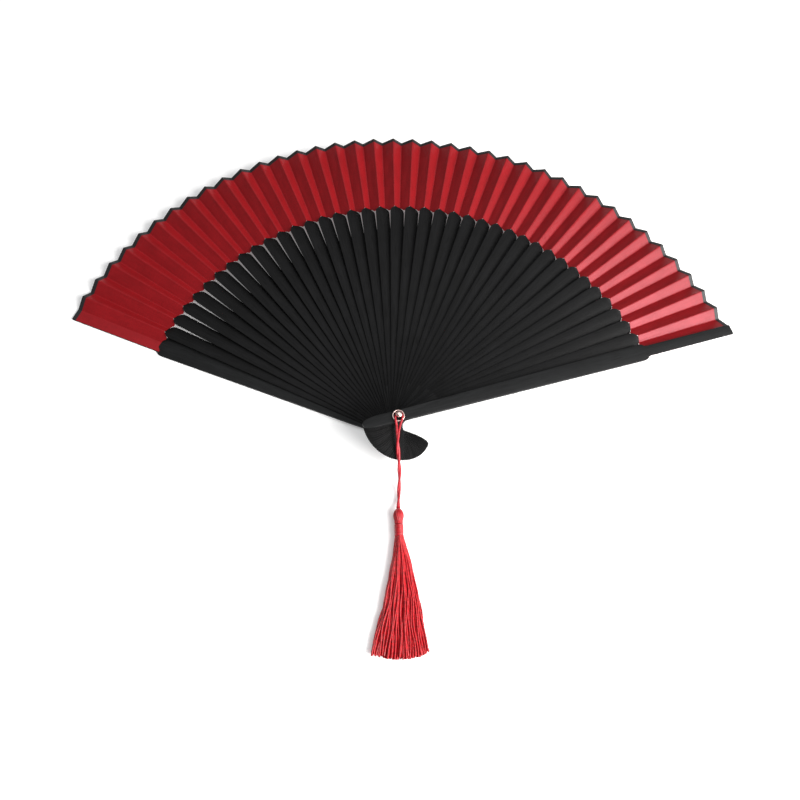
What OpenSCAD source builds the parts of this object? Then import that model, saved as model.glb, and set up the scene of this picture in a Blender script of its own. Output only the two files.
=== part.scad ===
// Folding hand fan, open: a back guard, 38 thin ribs and a front guard turn on one rivet,
// a pleated silk leaf with a bound edge joins them, and a corded tassel is looped round the
// rivet over a small metal ring.  Millimetres.  The rivet's axis is the Z axis, the back
// guard lies flat on z = 0, and the open fan spreads towards +Y.
//
// Every stick lies in its own layer, one thickness above its neighbour, so the fan can fold
// into a stack.  The ribs are flat at the rivet and twist towards the leaf: the edge away
// from the front guard rises and the other edge falls.  That slope makes the pleats.

/* [Fan] */
// Distance from the rivet to the outer edge of the leaf
leaf_radius = 210; // [180:1:250]
// Distance from the rivet to where the ribs' rounded shoulders end
shoulder_radius = 153.4; // [125:0.1:172]
// Angle from one stick to the next when the fan is open
stick_pitch = 3.66; // [3:0.01:4.3]
// Angle of the front guard above the X axis
front_angle = 15.2; // [8:0.1:30]

/* [Ribs] */
// Number of ribs between the guards
rib_count = 38; // [20:1:38]
// Thickness of a rib
rib_thickness = 0.56; // [0.45:0.01:0.65]
// Free space between one rib and the next
layer_gap = 0.12; // [0.1:0.01:0.2]
// Half the width of a stick at the rivet
pivot_half_width = 3.2; // [2.8:0.1:3.8]
// Half the width of a rib below its shoulder
shoulder_half_width = 4.55; // [3.9:0.05:5.5]
// Length of the feet below the rivet
foot_length = 20.5; // [16:0.5:25]
// Sideways slope of a rib at its shoulder
shoulder_slope = 0.25; // [0.1:0.01:0.3]
// Half the width of the narrow blade behind the leaf
blade_half_width = 1.5; // [1.2:0.05:1.65]

/* [Guards] */
// Thickness of a guard at the rivet
guard_thickness = 2.4; // [2.2:0.1:3]
// Half the width of a guard below its shoulder
guard_half_width = 5.2; // [4.5:0.1:6]
// Half the width of a guard along the leaf
guard_tip_half_width = 3.3; // [3.2:0.1:3.9]
// How much wider the back guard is than the front one, on each side
rear_guard_extra = 1.2; // [0:0.1:1.6]
// How far the guards reach past the leaf
guard_overhang = 0; // [0:0.5:6]

/* [Leaf] */
// Sideways slope of the pleats
pleat_slope = 0.68; // [0.45:0.01:0.7]
// Thickness of the silk
leaf_thickness = 0.12; // [0.08:0.01:0.14]
// Share of each period that lies on a rib, at the leaf's inner edge
inner_share = 0.36; // [0.34:0.01:0.45]
// Share of each period that lies on a rib, at the leaf's outer edge
outer_share = 0.44; // [0.36:0.01:0.46]
// Width of the binding round the outer edge
binding_width = 2.5; // [1.5:0.1:4]
// Thickness of the folded binding
binding_thickness = 0.26; // [0.2:0.01:0.28]

/* [Rivet and ring] */
// Radius of the rivet's shank
rivet_radius = 1.1; // [0.9:0.05:1.2]
// Radial clearance of the sticks on the shank
rivet_clearance = 0.06; // [0.03:0.01:0.1]
// Radius of the ring, to the middle of its wire
ring_radius = 3.1; // [3.1:0.05:4]
// Diameter of the ring's wire
ring_wire = 0.84; // [0.6:0.02:0.9]

/* [Tassel] */
// Diameter of the twisted cord
cord_diameter = 2; // [1.5:0.1:2.3]
// Diameter of each strand of the loop round the rivet
loop_strand = 0.9; // [0.8:0.05:0.9]
// Radius of the tassel's head
head_radius = 3; // [2.4:0.1:3.2]
// Length of the tassel's head
head_length = 9; // [7:0.1:11]
// Length of the thread wound round the neck
neck_length = 6.4; // [4:0.1:8]
// Length of the loose strands
skirt_length = 63.5; // [50:0.5:76]
// Width of the strands at their cut ends
skirt_width = 28; // [12:1:34]

/* [Hidden] */
function rib_name(k) = str(k < 10 ? "rib_0" : "rib_", k);
RIB_NODES = [for (k = [1 : rib_count]) rib_name(k)];

layer = rib_thickness + layer_gap;
stack_top = 2 * guard_thickness + rib_count * layer + layer_gap;
half_rib = rib_thickness / 2;
foot_half_width = pivot_half_width + 0.1;
twist_start = 25;
shoulder_height = 4.4;
shoulder_base = shoulder_radius - shoulder_height;
leaf_inner = shoulder_radius + 0.8;
leaf_dip = shoulder_radius - 2.9;
leaf_seam = leaf_radius - binding_width;
blade_end = leaf_seam - 0.3;
blade_thickness = 0.2;
leaf_lift = 0.1;
guard_blade = 0.6;
rear_leaf_z = guard_blade + 0.16;
front_leaf_z = stack_top - 0.5;

// Middle height of rib k's layer, counted from the back guard.
function rib_z(k) = guard_thickness + layer_gap + half_rib + layer * (k - 1);
// Direction of stick k: 0 is the back guard and rib_count + 1 is the front guard.
function stick_angle(k) = front_angle + stick_pitch * (rib_count + 1 - k);
// Sideways slope of a rib at distance r.
function rib_slope(r) =
    shoulder_slope * max(0, min(1, (r - twist_start) / (shoulder_base - twist_start)));
// Half the width of a rib at distance r, below its shoulder.
function rib_half_width(r) =
    pivot_half_width + (shoulder_half_width - pivot_half_width) * r / shoulder_base;

// Sections along a stick: [distance, half width, slope, underside, top].
function foot_sections(low, high) = [
    for (e = [[0, 0.2], [0.03, 0.46], [0.1, 0.7], [0.24, 0.9], [0.42, 1]])
        [foot_length * (e[0] - 1), foot_half_width * e[1], 0, low, high]
];
function rib_body_sections() = [
    for (r = concat([0], [for (i = [0 : 9]) twist_start + (shoulder_base - twist_start) * i / 10]))
        [r, rib_half_width(r), rib_slope(r), -half_rib, half_rib]
];
function rib_shoulder_sections() = [
    for (a = [0, 14, 27, 39, 50, 60, 70])
        [shoulder_base + shoulder_height * sin(a),
         max(blade_half_width + 0.1, shoulder_half_width * cos(a)),
         shoulder_slope + (pleat_slope - shoulder_slope) * 0.6 * pow(a / 70, 2),
         -half_rib, half_rib]
];
function rib_blade_sections() = [
    [shoulder_radius + 0.3, blade_half_width, pleat_slope - 0.02, -blade_thickness, 0],
    [leaf_inner, blade_half_width, pleat_slope, -blade_thickness, 0],
    [blade_end - 0.8, blade_half_width * 0.95, pleat_slope, -blade_thickness, 0],
    [blade_end, blade_half_width * 0.75, pleat_slope, -blade_thickness, 0]
];
rib_sections = concat(foot_sections(-half_rib, half_rib), rib_body_sections(),
    rib_shoulder_sections(), rib_blade_sections());

// A guard's side profile is [distance, underside, top], read between its points.
rear_profile = [
    [twist_start, 0, guard_thickness],
    [shoulder_base - 2, 0, guard_thickness - shoulder_slope * 5],
    [leaf_inner, 0, guard_blade],
    [leaf_radius + guard_overhang, 0, guard_blade]
];
front_profile = [
    [twist_start, stack_top - guard_thickness, stack_top],
    [shoulder_base - 2, stack_top - guard_thickness + shoulder_slope * 5.5, stack_top + 0.4],
    [leaf_inner, front_leaf_z + 0.16, stack_top + 0.5],
    [leaf_radius + guard_overhang, front_leaf_z + 0.16, stack_top + 0.5]
];
function profile_at(profile, r, side) = lookup(r, [for (p = profile) [p[0], p[side]]]);
function guard_sections(profile, extra) = concat(
    foot_sections(profile[0][1], profile[0][2]),
    [for (e = [
        [0, pivot_half_width],
        [twist_start, pivot_half_width + 0.3 + extra * 0.6],
        [shoulder_base - 2, guard_half_width + extra],
        [shoulder_base + 0.5, guard_half_width + extra],
        [shoulder_base + 2.2, guard_half_width + extra - 0.35],
        [shoulder_base + 3.6, guard_tip_half_width + extra + 0.35],
        [leaf_inner, guard_tip_half_width + extra],
        [leaf_radius + guard_overhang - 0.8, guard_tip_half_width + extra],
        [leaf_radius + guard_overhang - 0.2, guard_tip_half_width + extra - 0.3],
        [leaf_radius + guard_overhang, guard_tip_half_width + extra - 0.9]
    ]) [e[0], e[1], 0, profile_at(profile, e[0], 1), profile_at(profile, e[0], 2)]]
);

// Outward faces of a solid swept through rings of the same number of points.  The last
// side is split along its other diagonal, so that the two broad faces of a strip match.
function swept_faces(rings, sides) = concat(
    [[for (j = [0 : sides - 1]) j]],
    [for (i = [0 : rings - 2], j = [0 : sides - 1]) let (
        a = sides * i + j,
        b = sides * i + (j + 1) % sides
    ) each j < sides - 1
        ? [[a, a + sides, b + sides], [a, b + sides, b]]
        : [[a, a + sides, b], [b, a + sides, b + sides]]],
    [[for (j = [sides - 1 : -1 : 0]) sides * (rings - 1) + j]]
);

// A flat or twisted strip along +Y through the given sections.
module strip(sections) {
    polyhedron(
        points = [for (s = sections) each [
            [-s[1], s[0], s[2] * s[1] + s[3]],
            [-s[1], s[0], s[2] * s[1] + s[4]],
            [s[1], s[0], -s[2] * s[1] + s[4]],
            [s[1], s[0], -s[2] * s[1] + s[3]]
        ]],
        faces = swept_faces(len(sections), 4)
    );
}

// The hole for the rivet, through every stick.
module rivet_hole() {
    translate([0, 0, -50])
        cylinder(r = rivet_radius + rivet_clearance, h = 150, $fn = 48);
}

module rib(k) {
    color([0.16, 0.16, 0.17])
        rotate([0, 0, stick_angle(k) - 90])
            translate([0, 0, rib_z(k)])
                difference() {
                    strip(rib_sections);
                    rivet_hole();
                }
}

module rear_guard() {
    color([0.12, 0.12, 0.12])
        rotate([0, 0, stick_angle(0) - 90])
            difference() {
                strip(guard_sections(rear_profile, rear_guard_extra));
                rivet_hole();
                translate([0, 0, -1])
                    cylinder(r = rivet_radius * 2 + 0.1, h = 1.7, $fn = 48);
            }
}

module front_guard() {
    color([0.2, 0.21, 0.22])
        rotate([0, 0, front_angle - 90])
            difference() {
                strip(guard_sections(front_profile, 0));
                rivet_hole();
            }
}

// Share of a period on the rib, arc length of half of it, and a point of the leaf at
// sideways distance p from stick k's axis.
function share(r) = inner_share
    + (outer_share - inner_share) * (r - leaf_inner) / (leaf_radius - leaf_inner);
function half_panel(r) = share(r) * r * stick_pitch * PI / 360;
function leaf_point(k, p, r, z) = let (a = stick_angle(k) - p / r * 180 / PI)
    [r * cos(a), r * sin(a), z];
// The fold on the side of stick k: -1 is its high fold, 1 its low fold.
function fold_z(k, side, r) =
    k == 0 ? rear_leaf_z
    : k == rib_count + 1 ? front_leaf_z
    : rib_z(k) + leaf_lift - side * pleat_slope * half_panel(r);
function fold_point(k, side, r) = leaf_point(k, side * half_panel(r), r, fold_z(k, side, r));
// The middle of the loose panel between sticks k and k + 1.
function dip_point(k, r) =
    (fold_point(k, 1, r) + fold_point(k + 1, -1, r)) / 2;

// Lines across the leaf from its inner to its outer edge, in order from the back guard.
guard_panel_edge = guard_tip_half_width - 0.2;
function leaf_lines(inner, dip, outer) = concat(
    [[for (r = [inner, outer]) leaf_point(0, -guard_panel_edge - rear_guard_extra, r, rear_leaf_z)]],
    [for (k = [0 : rib_count]) each [
        [fold_point(k, 1, inner), fold_point(k, 1, outer)],
        if (dip > 0) [dip_point(k, dip), dip_point(k, outer)],
        [fold_point(k + 1, -1, inner), fold_point(k + 1, -1, outer)]
    ]],
    [[for (r = [inner, outer])
        leaf_point(rib_count + 1, guard_panel_edge, r, front_leaf_z)]]
);

// A thin closed sheet through lines of two points each.
module sheet(lines, thickness) {
    h = [0, 0, thickness / 2];
    polyhedron(
        points = [for (l = lines) each [l[0] - h, l[0] + h, l[1] + h, l[1] - h]],
        faces = [for (f = swept_faces(len(lines), 4)) [for (i = [len(f) - 1 : -1 : 0]) f[i]]]
    );
}

module leaf() {
    color([0.62, 0.1, 0.15])
        sheet(leaf_lines(leaf_inner, leaf_dip, leaf_seam - 0.1), leaf_thickness);
}

module leaf_edge_binding() {
    color([0.12, 0.11, 0.11])
        sheet(leaf_lines(leaf_seam, 0, leaf_radius), binding_thickness);
}

// Shank and flat back head, flush with the back guard.
module rivet() {
    color([0.8, 0.62, 0.56]) {
        cylinder(r = rivet_radius, h = stack_top + 2.2, $fn = 48);
        cylinder(r = rivet_radius * 2, h = 0.6, $fn = 48);
    }
}

// Domed head riveted on the front end of the shank.
cap_z = stack_top + 1.72;
module rivet_cap() {
    color([0.82, 0.66, 0.6])
        difference() {
            translate([0, 0, cap_z])
                intersection() {
                    cylinder(r = 1.8, h = 2, $fn = 48);
                    translate([0, 0, -1.12])
                        sphere(r = 2.12, $fn = 48);
                }
            translate([0, 0, cap_z - 1])
                cylinder(r = rivet_radius + 0.02, h = 1.5, $fn = 48);
        }
}

ring_z = stack_top + 0.12 + ring_wire / 2;
module ring() {
    color([0.8, 0.62, 0.56])
        translate([-0.25, -0.45, ring_z])
            rotate_extrude($fn = 64)
                translate([ring_radius, 0])
                    circle(d = ring_wire, $fn = 24);
}

// Unit vector along a route at point i, and a ring of points round the route there.
function unit(v) = v / norm(v);
function along(path, i) =
    unit(path[min(i + 1, len(path) - 1)] - path[max(i - 1, 0)]);
function ring_points(path, i, radius, sides) = let (
    t = along(path, i),
    u = unit(cross(t, abs(t[2]) > 0.9 ? [1, 0, 0] : [0, 0, 1])),
    v = cross(u, t)
) [for (j = [0 : sides - 1]) path[i] + radius * (cos(360 * j / sides) * u
    + sin(360 * j / sides) * v)];

// A tube of eight sides along a route.
module tube(path, diameter) {
    polyhedron(
        points = [for (i = [0 : len(path) - 1]) each ring_points(path, i, diameter / 2, 8)],
        faces = swept_faces(len(path), 8)
    );
}

// Points along a route, about one every step, on a smooth curve through the given points.
function curve_at(p, i, t) = let (
    a = p[max(i - 1, 0)], b = p[i], c = p[i + 1], d = p[min(i + 2, len(p) - 1)]
) 0.5 * (2 * b + (c - a) * t + (2 * a - 5 * b + 4 * c - d) * t * t
    + (3 * b - a - 3 * c + d) * t * t * t);
function smooth_route(p, step) = concat(
    [for (i = [0 : len(p) - 2])
        let (n = max(1, round(norm(p[i + 1] - p[i]) / step)))
            for (j = [0 : n - 1]) curve_at(p, i, j / n)],
    [p[len(p) - 1]]
);

// Heights above the front guard's face.
g = stack_top;
loop_radius = rivet_radius + 0.1 + loop_strand / 2;
half_loop_route = [
    [0.5, -8.2, g - 3.6],
    [0.8, -6.6, g - 1.6],
    [1.25, -4.8, g + 0.5],
    [1.75, -3.2, g + 1.5],
    [2, -1.7, g + 1.5],
    [loop_radius + 0.1, -0.4, g + 1.05]
];
// The loop leans a little to the side as it comes down.
function leaned(v) = [v[0] + 0.07 * v[1], v[1], v[2]];
loop_route = concat(
    [for (v = half_loop_route) leaned(v)],
    [for (a = [20 : 20 : 160]) [loop_radius * cos(a), loop_radius * sin(a), g + 0.92]],
    [for (i = [5 : -1 : 0])
        leaned([-half_loop_route[i][0], half_loop_route[i][1], half_loop_route[i][2]])]
);
module cord_loop() {
    color([0.8, 0.15, 0.22])
        tube(loop_route, loop_strand);
}

// The cord rests on the feet, drops past them and runs along the table to the tassel.
tassel_x = 0.3;
tassel_y = -45.2;
cord_route = [
    [-0.57, -8.25, g - 3.66],
    [-0.5, -10, g * 0.793],
    [-0.5, -12, g * 0.728],
    [-0.35, -14.5, g * 0.67],
    [-0.1, -17, g * 0.624],
    [0.1, -20, g * 0.582],
    [0.36, -22, g * 0.53],
    [0.7, -24, g * 0.436],
    [1, -26.5, g * 0.319],
    [1.13, -29, g * 0.215],
    [1.1, -32, g * 0.13],
    [1, -35, 2.4],
    [0.85, -38, 1.6],
    [0.66, -41, 1.7],
    [0.45, -43.5, 2.4],
    [tassel_x, tassel_y, head_radius + 0.2]
];
module tassel_cord() {
    color([0.8, 0.13, 0.2])
        tube(smooth_route(cord_route, 2.5), cord_diameter);
}

// The tassel lies along -Y on the table.
module along_tassel(y) {
    translate([tassel_x, tassel_y - y, head_radius + 0.2])
        rotate([90, 0, 0])
            children();
}

module tassel_head() {
    color([0.78, 0.1, 0.17])
        along_tassel(0.05)
            rotate_extrude($fn = 48)
                polygon(concat([[0, 0]], [for (a = [20 : 14 : 132]) [
                    head_radius * sin(a),
                    head_length / 2 * 0.95 * (1 - cos(a))
                ]], [[head_radius * 0.8, head_length], [0, head_length]]));
}

module tassel_neck_binding() {
    color([0.72, 0.08, 0.15])
        along_tassel(head_length + 0.1)
            cylinder(r = head_radius * 0.86, h = neck_length, $fn = 48);
}

module tassel_skirt() {
    color([0.78, 0.1, 0.17])
        translate([tassel_x, tassel_y - head_length - neck_length - 0.2, 0.4])
            linear_extrude(4.6)
                polygon([
                    [-2.3, 0], [2.3, 0], [4.5, -10], [skirt_width * 0.36, -skirt_length * 0.6],
                    [skirt_width / 2, 3 - skirt_length], [skirt_width * 0.3, -skirt_length],
                    [-skirt_width * 0.3, -skirt_length], [-skirt_width / 2, 3 - skirt_length],
                    [-skirt_width * 0.36, -skirt_length * 0.6], [-4.5, -10]
                ]);
}

rear_guard();
for (k = [1 : rib_count]) rib(k);
front_guard();
leaf();
leaf_edge_binding();
rivet();
rivet_cap();
ring();
cord_loop();
tassel_cord();
tassel_head();
tassel_neck_binding();
tassel_skirt();
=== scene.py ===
import random
from math import atan2, cos, pi, radians, sin, sqrt

import bmesh
import bpy
from mathutils import Matrix, Vector, noise


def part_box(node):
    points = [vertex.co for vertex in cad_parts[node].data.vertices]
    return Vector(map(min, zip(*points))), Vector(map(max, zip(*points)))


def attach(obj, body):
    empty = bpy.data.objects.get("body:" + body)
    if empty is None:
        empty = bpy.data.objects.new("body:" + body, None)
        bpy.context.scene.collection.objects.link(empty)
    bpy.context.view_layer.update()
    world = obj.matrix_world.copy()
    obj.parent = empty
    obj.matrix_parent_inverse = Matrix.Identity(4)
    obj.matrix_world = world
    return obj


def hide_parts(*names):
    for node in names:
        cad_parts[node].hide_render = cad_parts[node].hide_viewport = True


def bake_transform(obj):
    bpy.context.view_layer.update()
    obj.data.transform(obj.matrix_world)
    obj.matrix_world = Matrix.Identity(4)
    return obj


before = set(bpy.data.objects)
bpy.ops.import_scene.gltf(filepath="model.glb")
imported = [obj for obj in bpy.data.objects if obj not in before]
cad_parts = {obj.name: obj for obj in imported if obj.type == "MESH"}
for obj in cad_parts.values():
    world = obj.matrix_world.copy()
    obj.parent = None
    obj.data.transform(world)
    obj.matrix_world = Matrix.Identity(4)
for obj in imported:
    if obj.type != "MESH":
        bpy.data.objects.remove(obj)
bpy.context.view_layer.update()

# Ribs and guards
# Forty sticks of black-dyed wood on one rivet: a thick guard at each end and 38 thin ribs
# between them. Each is sawn to shape, sanded so that its edges are eased, and dyed, and
# the grain runs along it.
mm = 0.001
pitch = radians(3.66)
front_angle = radians(15.2)
last_stick = 39
shoulder_radius = 153.4 * mm
shoulder_height = 4.4 * mm
shoulder_half_width = 4.55 * mm
shoulder_base = shoulder_radius - shoulder_height


def stick_angle(k):
    """The direction of stick k, counted from the back guard."""
    return front_angle + pitch * (last_stick - k)


def stick_node(k):
    return "rear_guard" if k == 0 else "front_guard" if k == last_stick else f"rib_{k:02d}"


def group_socket(group, name, kind, way, value=None):
    socket = group.interface.new_socket(name=name, in_out=way, socket_type=kind)
    if value is not None:
        socket.default_value = value
    return socket


def maths(nodes, links, operation, a, b=None, c=None):
    """A Math node, with a number or an output for each of its inputs."""
    node = nodes.new("ShaderNodeMath")
    node.operation = operation
    for i, value in enumerate((a, b, c)):
        if value is None:
            continue
        if isinstance(value, (int, float)):
            node.inputs[i].default_value = value
        else:
            links.new(value, node.inputs[i])
    return node.outputs[0]


def wood_grain_group():
    """Long fibres, open pores and cloudy dye, from a piece's own map in metres."""
    group = bpy.data.node_groups.new("wood_grain", "ShaderNodeTree")
    group_socket(group, "Map", "NodeSocketVector", "INPUT")
    group_socket(group, "Fibres per mm", "NodeSocketFloat", "INPUT", 2.4)
    group_socket(group, "Dye clouding", "NodeSocketFloat", "INPUT", 0.5)
    group_socket(group, "Shade", "NodeSocketFloat", "OUTPUT")
    group_socket(group, "Height", "NodeSocketFloat", "OUTPUT")
    nodes, links = group.nodes, group.links
    given = nodes.new("NodeGroupInput")
    made = nodes.new("NodeGroupOutput")
    across = maths(nodes, links, "MULTIPLY", given.outputs["Fibres per mm"], 1000.0)
    apart = nodes.new("ShaderNodeSeparateXYZ")
    links.new(given.outputs["Map"], apart.inputs[0])

    def stretched(across_share, along_scale, detail):
        joined = nodes.new("ShaderNodeCombineXYZ")
        wide = maths(nodes, links, "MULTIPLY", across, across_share)
        links.new(maths(nodes, links, "MULTIPLY", apart.outputs[0], wide), joined.inputs[0])
        links.new(maths(nodes, links, "MULTIPLY", apart.outputs[1], along_scale), joined.inputs[1])
        cloud = nodes.new("ShaderNodeTexNoise")
        cloud.inputs["Scale"].default_value = 1.0
        cloud.inputs["Detail"].default_value = detail
        cloud.inputs["Roughness"].default_value = 0.6
        links.new(joined.outputs[0], cloud.inputs["Vector"])
        return cloud.outputs["Fac"]

    fibres = stretched(1.0, 36.0, 4.0)
    bands = stretched(0.22, 9.0, 2.0)
    dye = stretched(0.05, 42.0, 3.0)
    pores = nodes.new("ShaderNodeMapRange")
    pores.inputs["From Min"].default_value = 0.30
    pores.inputs["From Max"].default_value = 0.46
    links.new(stretched(1.7, 90.0, 2.0), pores.inputs["Value"])
    fine = maths(nodes, links, "MULTIPLY", fibres, 0.55)
    mixed = maths(nodes, links, "MULTIPLY_ADD", bands, 0.45, fine)
    dye_change = maths(nodes, links, "SUBTRACT", dye, 0.5)
    clouded = maths(nodes, links, "MULTIPLY", dye_change, given.outputs["Dye clouding"])
    shade = maths(nodes, links, "MULTIPLY", maths(nodes, links, "ADD", mixed, clouded), pores.outputs[0])
    links.new(shade, made.inputs["Shade"])
    height = maths(nodes, links, "MULTIPLY_ADD", pores.outputs[0], 0.6, mixed)
    links.new(height, made.inputs["Height"])
    return group


wood_grain = wood_grain_group()


def new_material(name):
    """An empty material with its Principled shader, and its node and link lists."""
    material = bpy.data.materials.new(name)
    material.use_nodes = True
    shader = material.node_tree.nodes["Principled BSDF"]
    return material, shader, material.node_tree.nodes, material.node_tree.links


def ramp(nodes, links, value, low, high, dark, light):
    """A colour between two, as value goes from low to high."""
    node = nodes.new("ShaderNodeValToRGB")
    node.color_ramp.elements[0].position = low
    node.color_ramp.elements[0].color = (*dark, 1)
    node.color_ramp.elements[1].position = high
    node.color_ramp.elements[1].color = (*light, 1)
    links.new(value, node.inputs[0])
    return node.outputs[0]


def dyed_wood(name, dark, light, roughness, fibres, gloss):
    material, shader, nodes, links = new_material(name)
    own_map = nodes.new("ShaderNodeUVMap")
    own_map.uv_map = "UVMap"
    grain = nodes.new("ShaderNodeGroup")
    grain.node_tree = wood_grain
    grain.inputs["Fibres per mm"].default_value = fibres
    grain.inputs["Dye clouding"].default_value = 0.5
    links.new(own_map.outputs[0], grain.inputs["Map"])
    colour = ramp(nodes, links, grain.outputs["Shade"], 0.25, 0.75, dark, light)
    links.new(colour, shader.inputs["Base Color"])
    rough = nodes.new("ShaderNodeMapRange")
    rough.inputs["From Min"].default_value = 0.2
    rough.inputs["From Max"].default_value = 0.8
    rough.inputs["To Min"].default_value = roughness + 0.1
    rough.inputs["To Max"].default_value = roughness - 0.06
    links.new(grain.outputs["Shade"], rough.inputs["Value"])
    links.new(rough.outputs[0], shader.inputs["Roughness"])
    bump = nodes.new("ShaderNodeBump")
    bump.inputs["Strength"].default_value = 0.35
    bump.inputs["Distance"].default_value = 0.00012
    links.new(grain.outputs["Height"], bump.inputs["Height"])
    links.new(bump.outputs[0], shader.inputs["Normal"])
    shader.inputs["Specular IOR Level"].default_value = gloss
    return material


rib_wood = dyed_wood("dyed_rib_wood", (0.0014, 0.0014, 0.0015), (0.006, 0.006, 0.0064), 0.5, 2.4, 0.15)
guard_wood = dyed_wood("dyed_guard_wood", (0.003, 0.0031, 0.0033), (0.011, 0.0116, 0.0122), 0.52, 2.0, 0.2)


def finish_mesh(name, bm, material, sharp):
    """Turns a bmesh into a piece with one material and smooth shading between sharp edges."""
    for face in bm.faces:
        face.smooth = True
    mesh = bpy.data.meshes.new(name)
    bm.to_mesh(mesh)
    bm.free()
    mesh.set_sharp_from_angle(angle=radians(sharp))
    mesh.materials.append(material)
    piece = bpy.data.objects.new(name, mesh)
    bpy.context.scene.collection.objects.link(piece)
    return piece


def make_stick(k, ease, segments, material):
    """Stick k with its edges eased, and a map of metres across and along it."""
    bm = bmesh.new()
    bm.from_mesh(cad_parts[stick_node(k)].data)
    bmesh.ops.remove_doubles(bm, verts=bm.verts, dist=2e-6)
    bmesh.ops.dissolve_limit(bm, angle_limit=radians(0.05), verts=bm.verts, edges=bm.edges)
    corners = [
        e for e in bm.edges
        if len(e.link_faces) == 2
        and e.calc_face_angle(0) > radians(55)
        and all(2.6 * mm < v.co.xy.length for v in e.verts)
        and (ease > 0.2 * mm or all(v.co.xy.length < shoulder_radius + 0.1 * mm for v in e.verts))
    ]
    bmesh.ops.bevel(
        bm, geom=corners, offset=ease, offset_type="OFFSET", affect="EDGES",
        segments=segments, profile=0.5, material=-1, clamp_overlap=True,
    )
    turn = Matrix.Rotation(pi / 2 - stick_angle(k), 3, "Z")
    layer = bm.loops.layers.uv.new("UVMap")
    for face in bm.faces:
        for loop in face.loops:
            flat = turn @ loop.vert.co
            loop[layer].uv = (flat.x + flat.z + 0.037 * k, flat.y + 0.011 * k)
    piece = finish_mesh(f"{stick_node(k)}_wood", bm, material, 30)
    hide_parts(stick_node(k))
    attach(piece, stick_node(k))
    return piece


for k in range(1, last_stick):
    make_stick(k, 0.1 * mm, 2, rib_wood)
make_stick(0, 0.3 * mm, 3, guard_wood)
make_stick(last_stick, 0.3 * mm, 3, guard_wood)

# Rivet, cap and ring
# A pin of rose-coloured metal runs through every stick. Its back end is a flat head let
# into the back guard, its front end is closed by a small domed cap, and a closed wire
# ring lies round the cap.
cap_low, cap_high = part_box("rivet_cap")
ring_low, ring_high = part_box("ring")


def rubbed_metal(name, colour, roughness):
    material, shader, nodes, links = new_material(name)
    place = nodes.new("ShaderNodeTexCoord")
    rub = nodes.new("ShaderNodeTexNoise")
    rub.inputs["Scale"].default_value = 900.0
    rub.inputs["Detail"].default_value = 5.0
    links.new(place.outputs["Object"], rub.inputs["Vector"])
    spread = nodes.new("ShaderNodeMapRange")
    spread.inputs["From Min"].default_value = 0.3
    spread.inputs["From Max"].default_value = 0.7
    spread.inputs["To Min"].default_value = roughness - 0.05
    spread.inputs["To Max"].default_value = roughness + 0.12
    links.new(rub.outputs["Fac"], spread.inputs["Value"])
    links.new(spread.outputs[0], shader.inputs["Roughness"])
    dull = tuple(0.72 * c for c in colour)
    links.new(ramp(nodes, links, rub.outputs["Fac"], 0.35, 0.65, dull, colour), shader.inputs["Base Color"])
    shader.inputs["Metallic"].default_value = 1.0
    bump = nodes.new("ShaderNodeBump")
    bump.inputs["Strength"].default_value = 0.15
    bump.inputs["Distance"].default_value = 0.00004
    links.new(rub.outputs["Fac"], bump.inputs["Height"])
    links.new(bump.outputs[0], shader.inputs["Normal"])
    return material


rose_metal = rubbed_metal("rose_metal", (0.93, 0.70, 0.64), 0.2)


def spun(points, centre, axis=(0, 0, 1), steps=64, closed=False):
    """A profile of points in the plane through the axis, spun a full turn about it."""
    bm = bmesh.new()
    line = [bm.verts.new(p) for p in points]
    edges = [bm.edges.new(pair) for pair in zip(line, line[1:])]
    if closed:
        edges.append(bm.edges.new((line[-1], line[0])))
    bmesh.ops.spin(
        bm, geom=line + edges, cent=centre, axis=axis, angle=2 * pi, steps=steps, use_merge=True,
    )
    bmesh.ops.remove_doubles(bm, verts=bm.verts, dist=1e-7)
    bmesh.ops.recalc_face_normals(bm, faces=bm.faces)
    return bm


def make_ring():
    """Round wire, spun about the ring's centre."""
    middle = (ring_low + ring_high) / 2
    wire = (ring_high.z - ring_low.z) / 2
    reach = (ring_high.x - ring_low.x) / 2 - wire
    circle = [
        middle + Vector((reach + wire * cos(a), 0, wire * sin(a)))
        for a in (2 * pi * i / 20 for i in range(20))
    ]
    bm = spun(circle, middle, steps=72, closed=True)
    piece = finish_mesh("ring_wire", bm, rose_metal, 60)
    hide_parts("ring")
    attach(piece, "tassel")


def make_cap():
    """A dome with a rolled brim, turned in one piece."""
    middle = (cap_low + cap_high) / 2
    r = (cap_high.x - cap_low.x) / 2
    foot, top = cap_low.z, cap_high.z
    rise = top - foot
    profile = [(0, 0.32), (0.70, 0.32), (0.72, 0.02), (0.90, 0.0), (0.985, 0.07), (1.0, 0.18), (0.96, 0.30)]
    profile += [(cos(a) * 0.93, 0.30 + 0.70 * sin(a)) for a in (radians(10 * i) for i in range(1, 9))]
    profile.append((0, 1.0))
    points = [Vector((middle.x + r * x, middle.y, foot + rise * z)) for x, z in profile]
    bm = spun(points, Vector((middle.x, middle.y, 0)), steps=48)
    piece = finish_mesh("rivet_dome", bm, rose_metal, 45)
    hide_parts("rivet_cap")
    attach(piece, "rear_guard")


make_ring()
make_cap()
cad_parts["rivet"].data.materials.clear()
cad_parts["rivet"].data.materials.append(rose_metal)

# Leaf and its edge binding
# One long strip of red silk, folded into two panels for each stick and pressed. Every
# second panel is glued on a stick's blade, the ones between are free, and a black tape is
# folded over the outer edge and glued.
leaf_radius = 210 * mm
leaf_inner = shoulder_radius + 0.8 * mm
seam_radius = leaf_radius - 2.5 * mm
pleat_slope = 0.68
rear_panel_edge = 4.3 * mm
front_panel_edge = 3.1 * mm
rear_leaf_height = 0.76 * mm
front_leaf_height = 30.26 * mm
hands = random.Random(7)
fold_wander = [1 + hands.uniform(-0.01, 0.07) for _ in range(2 * last_stick + 2)]


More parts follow.
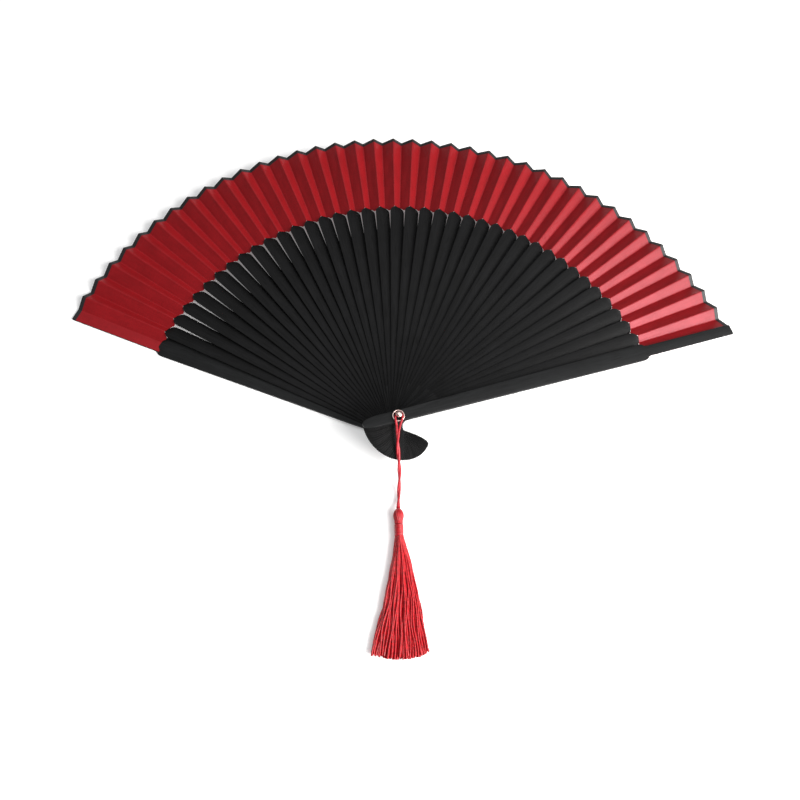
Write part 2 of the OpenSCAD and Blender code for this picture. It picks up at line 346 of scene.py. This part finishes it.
def rib_height(k):
    """The middle height of rib k."""
    return 2.8 * mm + 0.68 * mm * (k - 1)


def half_panel(k, side, r):
    """Half the width of the panel that is glued on stick k, on one side of its axis."""
    share = 0.36 + 0.08 * (r - leaf_inner) / (leaf_radius - leaf_inner)
    return share * r * pitch / 2 * fold_wander[2 * k + (side > 0)]


def on_stick(k, p, r):
    """A point of the panel glued on stick k, at p to the right of the stick's axis."""
    if k == 0:
        z = rear_leaf_height
    elif k == last_stick:
        z = front_leaf_height
    else:
        z = rib_height(k) + 0.1 * mm - pleat_slope * p
    a = stick_angle(k) - p / r
    return Vector((r * cos(a), r * sin(a), z))


def free_panel(k, t, r, slack):
    """A point of the free panel from stick k to the next, t of the way across."""
    low = on_stick(k, half_panel(k, 1, r), r)
    high = on_stick(k + 1, -half_panel(k + 1, -1, r), r)
    point = low.lerp(high, t)
    belly = 16 * t * t * (1 - t) * (1 - t)
    ripple = noise.noise(Vector((k * 3.7 + 1.3 * t, r * 95, 0.4 * k)))
    along = (high - low).normalized()
    outward = Vector((point.x, point.y, 0)).normalized()
    held = min(1, max(0, (seam_radius - 1.5 * mm - r) / (6 * mm)))
    return point + outward.cross(along) * belly * slack * held * ripple


def scallop(p):
    """The radius of the leaf's inner edge at p to the right of a stick's axis."""
    across = pitch * shoulder_radius
    near = [sqrt(max(0, 1 - (d / shoulder_half_width) ** 2)) for d in (abs(p), abs(across - p))]
    return shoulder_base + max(1.9 * mm, shoulder_height * max(near) + 0.15 * mm)


def leaf_strip(name, k, inner, outer, rows, thickness, slack, material):
    """The cloth from the middle of stick k's panel to the middle of the next one's, with
    both folds rounded. Its bend between the sticks starts and ends along the spreading folds."""
    left = -rear_panel_edge if k == 0 else 0.0
    right = front_panel_edge if k == last_stick - 1 else 0.0
    free = 10
    columns = [("left", u) for u in (0, 0.5, 1)] + [("free", i / free) for i in range(1, free)]
    columns += [("right", u) for u in (0, 0.5, 1)]
    bm = bmesh.new()
    bmesh.ops.create_grid(bm, x_segments=len(columns) - 1, y_segments=rows, size=0.5)
    layer = bm.loops.layers.uv.new("UVMap")
    column_of, row_of = {}, {}
    for v in bm.verts:
        column_of[v] = round((v.co.x + 0.5) * (len(columns) - 1))
        row_of[v] = v.co.y + 0.5
    for v in bm.verts:
        zone, u = columns[column_of[v]]
        if zone == "left":
            wide = left + u * (half_panel(k, 1, leaf_inner) - left)
        elif zone == "free":
            far_fold = pitch * leaf_inner - half_panel(k + 1, -1, leaf_inner)
            wide = half_panel(k, 1, leaf_inner) * (1 - u) + u * far_fold
        else:
            wide = pitch * leaf_inner
        r = inner(wide) if callable(inner) else inner
        r = r + (outer - r) * row_of[v]
        if zone == "left":
            v.co = on_stick(k, left + u * (half_panel(k, 1, r) - left), r)
        elif zone == "free":
            v.co = free_panel(k, u, r, slack)
        else:
            v.co = on_stick(k + 1, -half_panel(k + 1, -1, r) * (1 - u) + u * right, r)
    places = sorted(set(column_of.values()))
    flat = {}
    reach = 0.0
    outer_row = {column_of[v]: v.co.copy() for v in bm.verts if abs(row_of[v] - 1) < 1e-4}
    for c in places:
        if c:
            reach += (outer_row[c] - outer_row[c - 1]).length
        flat[c] = reach
    for face in bm.faces:
        for loop in face.loops:
            loop[layer].uv = (flat[column_of[loop.vert]] + 0.0173 * k, loop.vert.co.xy.length)
    area = sum(face.calc_area() for face in bm.faces)
    folds = [
        e for e in bm.edges
        if column_of[e.verts[0]] == column_of[e.verts[1]] and column_of[e.verts[0]] in (2, 2 + free)
    ]
    bmesh.ops.bevel(
        bm, geom=folds, offset=0.25 * mm, offset_type="OFFSET", affect="EDGES",
        segments=2, profile=0.5, material=-1, clamp_overlap=True,
    )
    bmesh.ops.recalc_face_normals(bm, faces=bm.faces)
    if sum(face.normal.z for face in bm.faces) < 0:
        bmesh.ops.reverse_faces(bm, faces=bm.faces)
    bm.normal_update()
    for v in bm.verts:
        v.co += v.normal * thickness / 2
    bmesh.ops.solidify(bm, geom=bm.faces[:], thickness=thickness)
    bmesh.ops.recalc_face_normals(bm, faces=bm.faces)
    piece = finish_mesh(name, bm, material, 50)
    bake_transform(piece)
    return piece, area, reach


def weave_group():
    """Plain weave: warp and weft over and under each other, with slubs in the threads."""
    group = bpy.data.node_groups.new("plain_weave", "ShaderNodeTree")
    group_socket(group, "Map", "NodeSocketVector", "INPUT")
    group_socket(group, "Threads per mm", "NodeSocketFloat", "INPUT", 2.5)
    group_socket(group, "Slub", "NodeSocketFloat", "INPUT", 0.4)
    group_socket(group, "Shade", "NodeSocketFloat", "OUTPUT")
    group_socket(group, "Height", "NodeSocketFloat", "OUTPUT")
    nodes, links = group.nodes, group.links
    given = nodes.new("NodeGroupInput")
    made = nodes.new("NodeGroupOutput")
    apart = nodes.new("ShaderNodeSeparateXYZ")
    links.new(given.outputs["Map"], apart.inputs[0])
    turn = maths(nodes, links, "MULTIPLY", given.outputs["Threads per mm"], 1000 * pi)
    warp = maths(nodes, links, "SINE", maths(nodes, links, "MULTIPLY", apart.outputs[0], turn))
    weft = maths(nodes, links, "SINE", maths(nodes, links, "MULTIPLY", apart.outputs[1], turn))
    cross = maths(nodes, links, "MULTIPLY", warp, weft)
    # Where warp and weft cross, the colour is painted shading: lighter where the threads rise and darker
    # between them. The slubs and blotches below are the cloth's own uneven tone.
    threads = maths(nodes, links, "MULTIPLY_ADD", cross, 0.25, 0.5)

    def streaks(across_scale, along_scale):
        joined = nodes.new("ShaderNodeCombineXYZ")
        links.new(maths(nodes, links, "MULTIPLY", apart.outputs[0], across_scale), joined.inputs[0])
        links.new(maths(nodes, links, "MULTIPLY", apart.outputs[1], along_scale), joined.inputs[1])
        cloud = nodes.new("ShaderNodeTexNoise")
        cloud.inputs["Scale"].default_value = 1.0
        cloud.inputs["Detail"].default_value = 3.0
        links.new(joined.outputs[0], cloud.inputs["Vector"])
        return maths(nodes, links, "SUBTRACT", cloud.outputs["Fac"], 0.5)

    slubs = maths(nodes, links, "ADD", streaks(2200.0, 110.0), streaks(160.0, 2600.0))
    blotch = maths(nodes, links, "MULTIPLY", streaks(90.0, 60.0), 0.8)
    uneven = maths(nodes, links, "MULTIPLY", maths(nodes, links, "ADD", slubs, blotch), given.outputs["Slub"])
    links.new(maths(nodes, links, "ADD", threads, uneven), made.inputs["Shade"])
    links.new(maths(nodes, links, "MULTIPLY_ADD", slubs, 0.5, threads), made.inputs["Height"])
    return group


plain_weave = weave_group()


def woven_cloth(name, dark, light, roughness, threads, slub, depth, gloss, gloss_tint):
    material, shader, nodes, links = new_material(name)
    own_map = nodes.new("ShaderNodeUVMap")
    own_map.uv_map = "UVMap"
    weave = nodes.new("ShaderNodeGroup")
    weave.node_tree = plain_weave
    weave.inputs["Threads per mm"].default_value = threads
    weave.inputs["Slub"].default_value = slub
    links.new(own_map.outputs[0], weave.inputs["Map"])
    links.new(ramp(nodes, links, weave.outputs["Shade"], 0.2, 0.8, dark, light), shader.inputs["Base Color"])
    rough = nodes.new("ShaderNodeMapRange")
    rough.inputs["To Min"].default_value = roughness + 0.08
    rough.inputs["To Max"].default_value = roughness - 0.08
    links.new(weave.outputs["Shade"], rough.inputs["Value"])
    links.new(rough.outputs[0], shader.inputs["Roughness"])
    bump = nodes.new("ShaderNodeBump")
    bump.inputs["Strength"].default_value = 0.4
    bump.inputs["Distance"].default_value = depth
    links.new(weave.outputs["Height"], bump.inputs["Height"])
    links.new(bump.outputs[0], shader.inputs["Normal"])
    shader.inputs["Specular IOR Level"].default_value = gloss
    shader.inputs["Specular Tint"].default_value = (*gloss_tint, 1)
    return material


red_silk = woven_cloth(
    "red_silk", (0.16, 0.002, 0.003), (0.28, 0.006, 0.009), 0.43, 2.6, 0.6, 0.00006, 0.5, (1.0, 0.58, 0.66)
)
black_tape = woven_cloth(
    "black_tape", (0.006, 0.006, 0.007), (0.02, 0.02, 0.022), 0.5, 3.2, 0.5, 0.00006, 0.35, (1.0, 1.0, 1.0)
)

for k in range(last_stick):
    binding, _, _ = leaf_strip(
        f"edge_binding_{k:02d}", k, seam_radius, leaf_radius, 3, 0.24 * mm, 0.0, black_tape
    )
    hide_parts("leaf_edge_binding")
    panel, area, width = leaf_strip(
        f"leaf_{k:02d}", k, scallop, seam_radius + 0.3 * mm, 14, 0.1 * mm, 0.3 * mm, red_silk
    )
    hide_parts("leaf")

# Cord and its loop
# Two red silk threads. They pass round the rivet inside the ring as a loop, meet below
# it, and run on twisted together, over the feet of the sticks and down to the table.
stack_top = 30.76 * mm


def smooth_route(points, step):
    """Points about one step apart on a smooth curve through the given points."""
    route = []
    for i in range(len(points) - 1):
        a, b = points[max(i - 1, 0)], points[i]
        c, d = points[i + 1], points[min(i + 2, len(points) - 1)]
        n = max(1, round((c - b).length / step))
        for t in (j / n for j in range(n)):
            bent = (2 * a - 5 * b + 4 * c - d) * t ** 2 + (3 * b - a - 3 * c + d) * t ** 3
            route.append(0.5 * (2 * b + (c - a) * t + bent))
    return route + [points[-1]]


def stations(route):
    """A turned frame at each point of a route: its Z runs along, and it doesn't twist."""
    found, side = [], Vector((1, 0, 0))
    for i, point in enumerate(route):
        along = (route[min(i + 1, len(route) - 1)] - route[max(i - 1, 0)]).normalized()
        if abs(along.dot(side)) > 0.95:
            side = Vector((0, 0, 1))
        side = (side - along * side.dot(along)).normalized()
        place = Matrix((side, along.cross(side), along)).transposed().to_4x4()
        place.translation = point
        found.append(place)
    return found


def lay_thread(bm, route, radii, sides):
    """Sweeps a round thread along a route, with a map of turns round it and metres along."""
    around = bm.verts.layers.float.get("around") or bm.verts.layers.float.new("around")
    far = bm.verts.layers.float.get("far") or bm.verts.layers.float.new("far")
    layer = bm.loops.layers.uv.verify()
    places = stations(route)
    first = bmesh.ops.create_circle(bm, cap_ends=True, segments=sides, radius=radii[0])["verts"]
    for v in first:
        v[around] = (atan2(v.co.y, v.co.x) / (2 * pi)) % 1.0
    bmesh.ops.transform(bm, matrix=places[0], verts=first)
    edges = list({e for v in first for e in v.link_edges})
    made = set(first)
    gone = 0.0
    for i in range(1, len(route)):
        gone += (route[i] - route[i - 1]).length
        out = bmesh.ops.extrude_edge_only(bm, edges=edges)["geom"]
        ring = [g for g in out if isinstance(g, bmesh.types.BMVert)]
        edges = [g for g in out if isinstance(g, bmesh.types.BMEdge)]
        size = Matrix.Scale(radii[i] / radii[i - 1], 4)
        bmesh.ops.transform(bm, matrix=places[i] @ size @ places[i - 1].inverted(), verts=ring)
        for v in ring:
            v[far] = gone
        made.update(ring)
    bmesh.ops.contextual_create(bm, geom=edges)
    for face in {f for v in made for f in v.link_faces}:
        turns = [loop.vert[around] for loop in face.loops]
        wraps = max(turns) - min(turns) > 0.5
        for loop, turn in zip(face.loops, turns):
            loop[layer].uv = (turn + 1 if wraps and turn < 0.5 else turn, loop.vert[far])


def ply_group():
    """Fine fibres that wind round a thread, from its map of turns round and metres along."""
    group = bpy.data.node_groups.new("wound_fibres", "ShaderNodeTree")
    group_socket(group, "Map", "NodeSocketVector", "INPUT")
    group_socket(group, "Turns per mm", "NodeSocketFloat", "INPUT", 0.9)
    group_socket(group, "Fibres round", "NodeSocketFloat", "INPUT", 3.0)
    group_socket(group, "Shade", "NodeSocketFloat", "OUTPUT")
    group_socket(group, "Height", "NodeSocketFloat", "OUTPUT")
    nodes, links = group.nodes, group.links
    given = nodes.new("NodeGroupInput")
    made = nodes.new("NodeGroupOutput")
    apart = nodes.new("ShaderNodeSeparateXYZ")
    links.new(given.outputs["Map"], apart.inputs[0])
    run = maths(nodes, links, "MULTIPLY", apart.outputs[1], given.outputs["Turns per mm"])
    run = maths(nodes, links, "MULTIPLY", run, 1000.0)
    wind = maths(nodes, links, "MULTIPLY_ADD", apart.outputs[0], given.outputs["Fibres round"], run)
    ridge = maths(nodes, links, "SINE", maths(nodes, links, "MULTIPLY", wind, 2 * pi))
    ridge = maths(nodes, links, "MULTIPLY_ADD", ridge, 0.5, 0.5)
    place = nodes.new("ShaderNodeTexCoord")
    cloud = nodes.new("ShaderNodeTexNoise")
    cloud.inputs["Scale"].default_value = 700.0
    cloud.inputs["Detail"].default_value = 3.0
    links.new(place.outputs["Object"], cloud.inputs["Vector"])
    # The colour is partly painted shading: lighter along each fibre's ridge and darker in the groove between
    # fibres. The cloud is the silk's own uneven tone.
    painted_ridge_shading = maths(nodes, links, "MULTIPLY", ridge, 0.3)
    shade = maths(nodes, links, "MULTIPLY_ADD", cloud.outputs["Fac"], 0.7, painted_ridge_shading)
    links.new(shade, made.inputs["Shade"])
    links.new(maths(nodes, links, "MULTIPLY_ADD", cloud.outputs["Fac"], 0.35, ridge), made.inputs["Height"])
    return group


wound_fibres = ply_group()


def silk_thread(name, dark, light, turns, fibres, depth):
    material, shader, nodes, links = new_material(name)
    own_map = nodes.new("ShaderNodeUVMap")
    own_map.uv_map = "UVMap"
    wind = nodes.new("ShaderNodeGroup")
    wind.node_tree = wound_fibres
    wind.inputs["Turns per mm"].default_value = turns
    wind.inputs["Fibres round"].default_value = fibres
    links.new(own_map.outputs[0], wind.inputs["Map"])
    links.new(ramp(nodes, links, wind.outputs["Shade"], 0.25, 0.75, dark, light), shader.inputs["Base Color"])
    rough = nodes.new("ShaderNodeMapRange")
    rough.inputs["To Min"].default_value = 0.5
    rough.inputs["To Max"].default_value = 0.34
    links.new(wind.outputs["Shade"], rough.inputs["Value"])
    links.new(rough.outputs[0], shader.inputs["Roughness"])
    bump = nodes.new("ShaderNodeBump")
    bump.inputs["Strength"].default_value = 0.5
    bump.inputs["Distance"].default_value = depth
    links.new(wind.outputs["Height"], bump.inputs["Height"])
    links.new(bump.outputs[0], shader.inputs["Normal"])
    shader.inputs["Sheen Weight"].default_value = 0.12
    shader.inputs["Sheen Roughness"].default_value = 0.35
    shader.inputs["Sheen Tint"].default_value = (1.0, 0.4, 0.45, 1)
    return material


cord_silk = silk_thread("cord_silk", (0.20, 0.002, 0.006), (0.62, 0.016, 0.032), 0.45, 3.0, 0.00022)


def make_loop():
    """One thread from below the rivet, round it inside the ring, and back."""
    g, turn = stack_top, 1.65
    half = [
        (0.5, -8.2, -3.6), (0.8, -6.6, -1.6), (1.25, -4.8, 0.5), (1.75, -3.2, 1.5), (2, -1.7, 1.5),
        (1.75, -0.4, 1.05),
    ]
    arc = [(turn * cos(a), turn * sin(a), 0.92) for a in (radians(20 * i) for i in range(1, 9))]
    points = [(x + 0.07 * y, y, z) for x, y, z in half] + arc
    points += [(0.07 * y - x, y, z) for x, y, z in reversed(half)]
    route = smooth_route([Vector((x * mm, y * mm, g + z * mm)) for x, y, z in points], 0.5 * mm)
    radii = [0.45 * mm + 0.18 * mm * min(1, max(0, -place.y / (4 * mm))) for place in route]
    bm = bmesh.new()
    lay_thread(bm, route, radii, 12)
    bmesh.ops.recalc_face_normals(bm, faces=bm.faces)
    piece = finish_mesh("cord_loop_thread", bm, cord_silk, 60)
    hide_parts("cord_loop")
    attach(piece, "tassel")
    return piece


def make_cord():
    """Two threads twisted together, a turn in each 24 mm, which rest on the feet."""
    g = stack_top / mm
    given = [
        (-0.57, -8.25, g - 3.66), (-0.5, -10, 0.793 * g), (-0.5, -12, 0.728 * g), (-0.35, -14.5, 0.67 * g),
        (-0.1, -17, 0.624 * g), (0.1, -20, 0.582 * g), (0.36, -22, 0.53 * g), (0.7, -24, 0.436 * g),
        (1, -26.5, 0.319 * g), (1.13, -29, 0.215 * g), (1.1, -32, 0.13 * g), (1, -35, 2.4),
        (0.85, -38, 1.6), (0.66, -41, 1.7), (0.45, -43.5, 2.4), (0.3, -45.2, 3.2),
    ]
    middle = smooth_route([Vector(p) * mm for p in given], 0.8 * mm)
    places = stations(middle)
    bm = bmesh.new()
    for ply in (0, 1):
        gone, route = 0.0, []
        for i, place in enumerate(places):
            gone += (middle[i] - middle[i - 1]).length if i else 0.0
            a = 2 * pi * (gone / (24 * mm) + 0.5 * ply)
            route.append(place @ Vector((0.42 * mm * cos(a), 0.38 * mm * sin(a), 0)))
        lay_thread(bm, route, [0.70 * mm] * len(route), 12)
    bmesh.ops.recalc_face_normals(bm, faces=bm.faces)
    piece = finish_mesh("tassel_cord_threads", bm, cord_silk, 60)
    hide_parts("tassel_cord")
    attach(piece, "tassel")
    return piece, middle


cord_loop = make_loop()
tassel_cord, cord_middle = make_cord()

# Tassel
# A hank of fine red threads folded over the end of the cord. The fold is the round head,
# a thread is wound tightly round the neck below it, and the cut ends spread on the table.
tassel_axis = Vector((0.3 * mm, 0, 3.2 * mm))
head_top = -45.25 * mm
neck_top = -54.3 * mm
skirt_top = -60.8 * mm
head_silk = silk_thread("tassel_head_silk", (0.27, 0.003, 0.007), (0.55, 0.011, 0.020), 0.25, 26.0, 0.00025)
neck_silk = silk_thread("tassel_neck_silk", (0.26, 0.003, 0.007), (0.52, 0.010, 0.019), 1.1, 1.0, 0.00015)
strand_silk = silk_thread(
    "tassel_strand_silk", (0.15, 0.001, 0.003), (0.66, 0.011, 0.019), 0.55, 1.0, 0.00020
)


def around_tassel(point):
    """How far round the tassel's length a point lies, as an angle."""
    return atan2(point.z - tassel_axis.z, point.x - tassel_axis.x)


def turned_thread(name, profile, y_top, grooves, groove_depth, material):
    """A profile of (distance down, radius) spun about the tassel's length, with grooves."""
    points = [Vector((tassel_axis.x + r, y_top - d, tassel_axis.z)) for d, r in profile]
    bm = spun(points, tassel_axis, axis=(0, 1, 0), steps=72)
    layer = bm.loops.layers.uv.new("UVMap")
    for face in bm.faces:
        turns = [around_tassel(loop.vert.co) / (2 * pi) % 1.0 for loop in face.loops]
        wraps = max(turns) - min(turns) > 0.5
        for loop, turn in zip(face.loops, turns):
            loop[layer].uv = (turn + 1 if wraps and turn < 0.5 else turn, y_top - loop.vert.co.y)
    for v in bm.verts:
        out = Vector((v.co.x - tassel_axis.x, 0, v.co.z - tassel_axis.z))
        turn = around_tassel(v.co) + (y_top - v.co.y) / (18 * mm)
        deep = groove_depth * (0.5 + 0.5 * cos(grooves * turn)) if grooves else 0.0
        uneven = 0.03 * noise.noise(v.co * 420)
        v.co -= out * (deep - uneven)
    piece = finish_mesh(name, bm, material, 60)
    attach(piece, "tassel")
    return piece


def make_head():
    reach = 3 * mm
    profile = [(0, 0.0)]
    bulb = [radians(15 + 7.5 * i) for i in range(16)]
    profile += [(4.275 * mm * (1 - cos(a)), reach * sin(a)) for a in bulb]
    profile += [(7.8 * mm, reach * 0.80), (8.75 * mm, reach * 0.77), (8.95 * mm, 1.2 * mm), (8.95 * mm, 0.0)]
    piece = turned_thread("tassel_head_fold", profile, head_top, 18, 0.09, head_silk)
    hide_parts("tassel_head")
    return piece


def make_neck():
    wraps, long, reach = 9, 6.4 * mm, 2.58 * mm
    profile = [(0, 0.0), (0, reach * 0.86)]
    for i in range(wraps):
        for j in range(1, 6):
            d = long * (i + j / 6) / wraps
            profile.append((d, reach * (0.90 + 0.10 * sin(pi * j / 6))))
    profile += [(long, reach * 0.86), (long, 0.0)]
    piece = turned_thread("tassel_neck_winding", profile, neck_top, 0, 0, neck_silk)
    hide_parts("tassel_neck_binding")
    return piece


def make_skirt():
    """Loose threads in a few locks, which spread from the neck and lie on each other."""
    picks = random.Random(21)
    bm = bmesh.new()
    strands, steps, locks = 130, 18, 12
    lock_pull = [picks.uniform(-0.05, 0.05) for _ in range(locks)]
    for i in range(strands):
        a = 2 * ((i * 0.6180339887) % 1.0) - 1
        b = ((i * 0.7548776662) % 1.0)
        lock = min(locks - 1, int((a + 1) / 2 * locks))
        centre = (lock + 0.5) / locks * 2 - 1
        long = (64.4 - 2.4 * a * a - picks.uniform(0, 1.8)) * mm
        wave, phase = picks.uniform(0.2, 0.7) * mm, picks.uniform(0, 2 * pi)
        stray = picks.uniform(-0.5, 0.5) * mm
        top = sqrt(max(0, 1 - (2 * b - 1) ** 2))
        route = []
        for s in range(steps + 1):
            t = s / steps
            down = long * t
            gather = 0.62 * sin(pi * min(1, t * 1.15)) ** 2
            place = a + (centre - a) * gather + lock_pull[lock] * t
            half = 1.9 * mm + 12.6 * mm * t
            x = place * half * (top + (1 - top) * min(1, 4 * t)) + 0.85 * mm * sin(4.2 * t)
            rise = 2.15 * mm * (1 - t) + 1.75 * mm * t
            edge = sqrt(max(0.06, 1 - place * place))
            z = 3.1 * mm - 0.65 * mm * t + (2 * b - 1) * rise * edge
            x += wave * sin(2 * pi * 2.4 * t + phase) * min(1, 2 * t) + stray * t
            z += 0.25 * wave * cos(2 * pi * 1.7 * t + phase) * t
            route.append(Vector((tassel_axis.x + x, skirt_top + 1.2 * mm - down, max(0.7 * mm, z))))
        radii = [0.42 * mm + 0.14 * mm * min(1, 3 * s / steps) for s in range(steps + 1)]
        lay_thread(bm, route, radii, 6)
    bmesh.ops.recalc_face_normals(bm, faces=bm.faces)
    piece = finish_mesh("tassel_skirt_strands", bm, strand_silk, 60)
    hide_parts("tassel_skirt")
    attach(piece, "tassel")


tassel_head = make_head()
tassel_neck = make_neck()
make_skirt()

# Table, light and camera
# The fan lies on a plain white table that glows a little, seen from above the handle. Two
# window lights stand low at the right, and the ceiling and the room give an even light.


def make_table():
    bm = bmesh.new()
    bmesh.ops.create_grid(bm, x_segments=1, y_segments=1, size=3.0)
    bmesh.ops.translate(bm, vec=(0, 0, -0.0002), verts=bm.verts)
    material, shader, _, _ = new_material("pale_table")
    shader.inputs["Base Color"].default_value = (0.9, 0.9, 0.9, 1)
    shader.inputs["Roughness"].default_value = 0.9
    shader.inputs["Specular IOR Level"].default_value = 0.1
    shader.inputs["Emission Color"].default_value = (1, 1, 1, 1)
    shader.inputs["Emission Strength"].default_value = 0.2
    table = finish_mesh("table", bm, material, 40)


def soft_light(name, azimuth, elevation, distance, size, power, colour):
    """A square area light that points at the fan."""
    lamp = bpy.data.lights.new(name, "AREA")
    lamp.shape, lamp.size, lamp.energy, lamp.color = "SQUARE", size, power, colour
    a, e = radians(azimuth), radians(elevation)
    away = Vector((cos(a) * cos(e), sin(a) * cos(e), sin(e)))
    aim = Vector((0.02, 0.09, 0.01))
    turned_to_fan = away.to_track_quat("Z", "Y").to_matrix().to_4x4()
    holder = bpy.data.objects.new(name, lamp)
    holder.matrix_world = Matrix.Translation(aim + away * distance) @ turned_to_fan
    bpy.context.scene.collection.objects.link(holder)


make_table()
soft_light("window_light", -38, 37, 0.95, 0.6, 17.0, (1.0, 0.985, 0.97))
soft_light("window_edge", -6, 26, 0.95, 0.35, 2.8, (1.0, 0.985, 0.97))
soft_light("ceiling_light", 60, 75, 1.6, 1.4, 10.0, (0.97, 0.985, 1.0))
world = bpy.data.worlds.new("room")
world.use_nodes = True
world.node_tree.nodes["Background"].inputs["Color"].default_value = (1, 1, 1, 1)
world.node_tree.nodes["Background"].inputs["Strength"].default_value = 0.2
bpy.context.scene.world = world

lens = bpy.data.cameras.new("camera")
lens.sensor_width = 36
lens.lens = 28.84
lens.clip_start = 0.01
camera = bpy.data.objects.new("camera", lens)
turned = Matrix.Rotation(radians(22.33), 4, "X") @ Matrix.Rotation(radians(-4.34), 4, "Y")
camera.matrix_world = turned @ Matrix.Translation(Vector((2.77, 20.01, 379.05)) * mm)
bpy.context.scene.collection.objects.link(camera)
bpy.context.scene.camera = camera
bpy.context.scene.view_settings.view_transform = "Standard"
